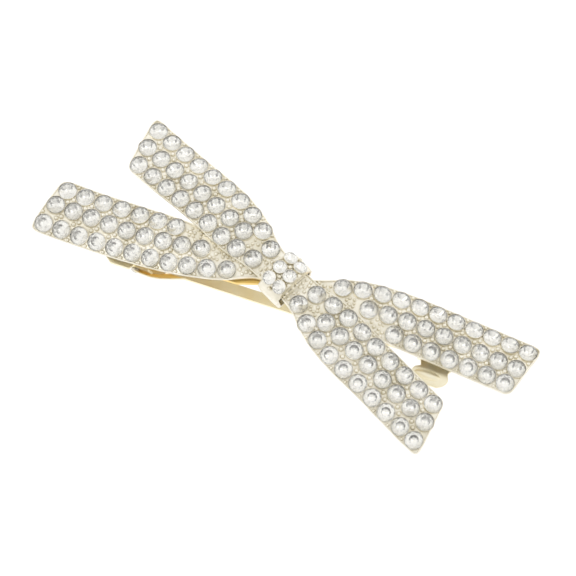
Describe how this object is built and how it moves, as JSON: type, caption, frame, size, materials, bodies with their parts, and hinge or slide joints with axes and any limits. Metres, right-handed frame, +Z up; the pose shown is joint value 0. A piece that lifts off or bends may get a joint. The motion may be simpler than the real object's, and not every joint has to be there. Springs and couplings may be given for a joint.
{
  "type": "rhinestone hair clip",
  "caption": "Bow-shaped hair clip: two stone-set ribbons and a knot on an arched barrette with a hinged clamp arm and pinch latch.",
  "frame": {"origin": "under the middle of the closed clip, on the flat underside of the clamp arm", "axes": "+X along the clip from its hinge to its latch, +Y across it, +Z up through the face of the bow"},
  "size_m": [0.0826, 0.0398, 0.012],
  "materials": {
    "pale_gold": "polished pale gold plate",
    "crystal": "faceted, foil backed",
    "clip_gold": "polished gold plate",
    "spring_steel": "satin",
    "solder": "dull, as flowed"
  },
  "bodies": {
    "bow": {"long_ribbon": "pale_gold", "short_ribbon": "pale_gold", "knot_band": "pale_gold", "stones_long_left_outer": "crystal", "stones_long_left_middle": "crystal", "stones_long_left_inner": "crystal", "stones_long_right_outer": "crystal", "stones_long_right_middle": "crystal", "stones_long_right_inner": "crystal", "stones_short_left_outer": "crystal", "stones_short_left_middle": "crystal", "stones_short_left_inner": "crystal", "stones_short_right_outer": "crystal", "stones_short_right_middle": "crystal", "stones_short_right_inner": "crystal", "stones_knot_far": "crystal", "stones_knot_crest": "crystal", "stones_knot_near": "crystal", "base_bar": "clip_gold", "tension_spring": "spring_steel", "hinge_pin": "spring_steel", "solder_pad_left": "solder", "solder_pad_right": "solder"},
    "arm": {"clamp_arm": "clip_gold"},
    "far_prong": {"latch_prong_far": "clip_gold"},
    "near_prong": {"latch_prong_near": "clip_gold"}
  },
  "joints": [
    {"name": "arm_hinge", "type": "hinge", "parent": "bow", "child": "arm", "pos_m": [-0.0235, 0, 0.0012], "axis": [0, 1, 0], "range_deg": [0, 75]},
    {"name": "far_prong_pinch", "type": "hinge", "parent": "bow", "child": "far_prong", "pos_m": [0.0254, 0.00355, 0.00245], "axis": [1, 0, 0], "range_deg": [0, 8.5], "stiffness_Nm_per_rad": 0.05},
    {"name": "near_prong_pinch", "type": "hinge", "parent": "bow", "child": "near_prong", "pos_m": [0.0254, -0.00355, 0.00245], "axis": [-1, 0, 0], "range_deg": [0, 8.5], "stiffness_Nm_per_rad": 0.05}
  ]
}
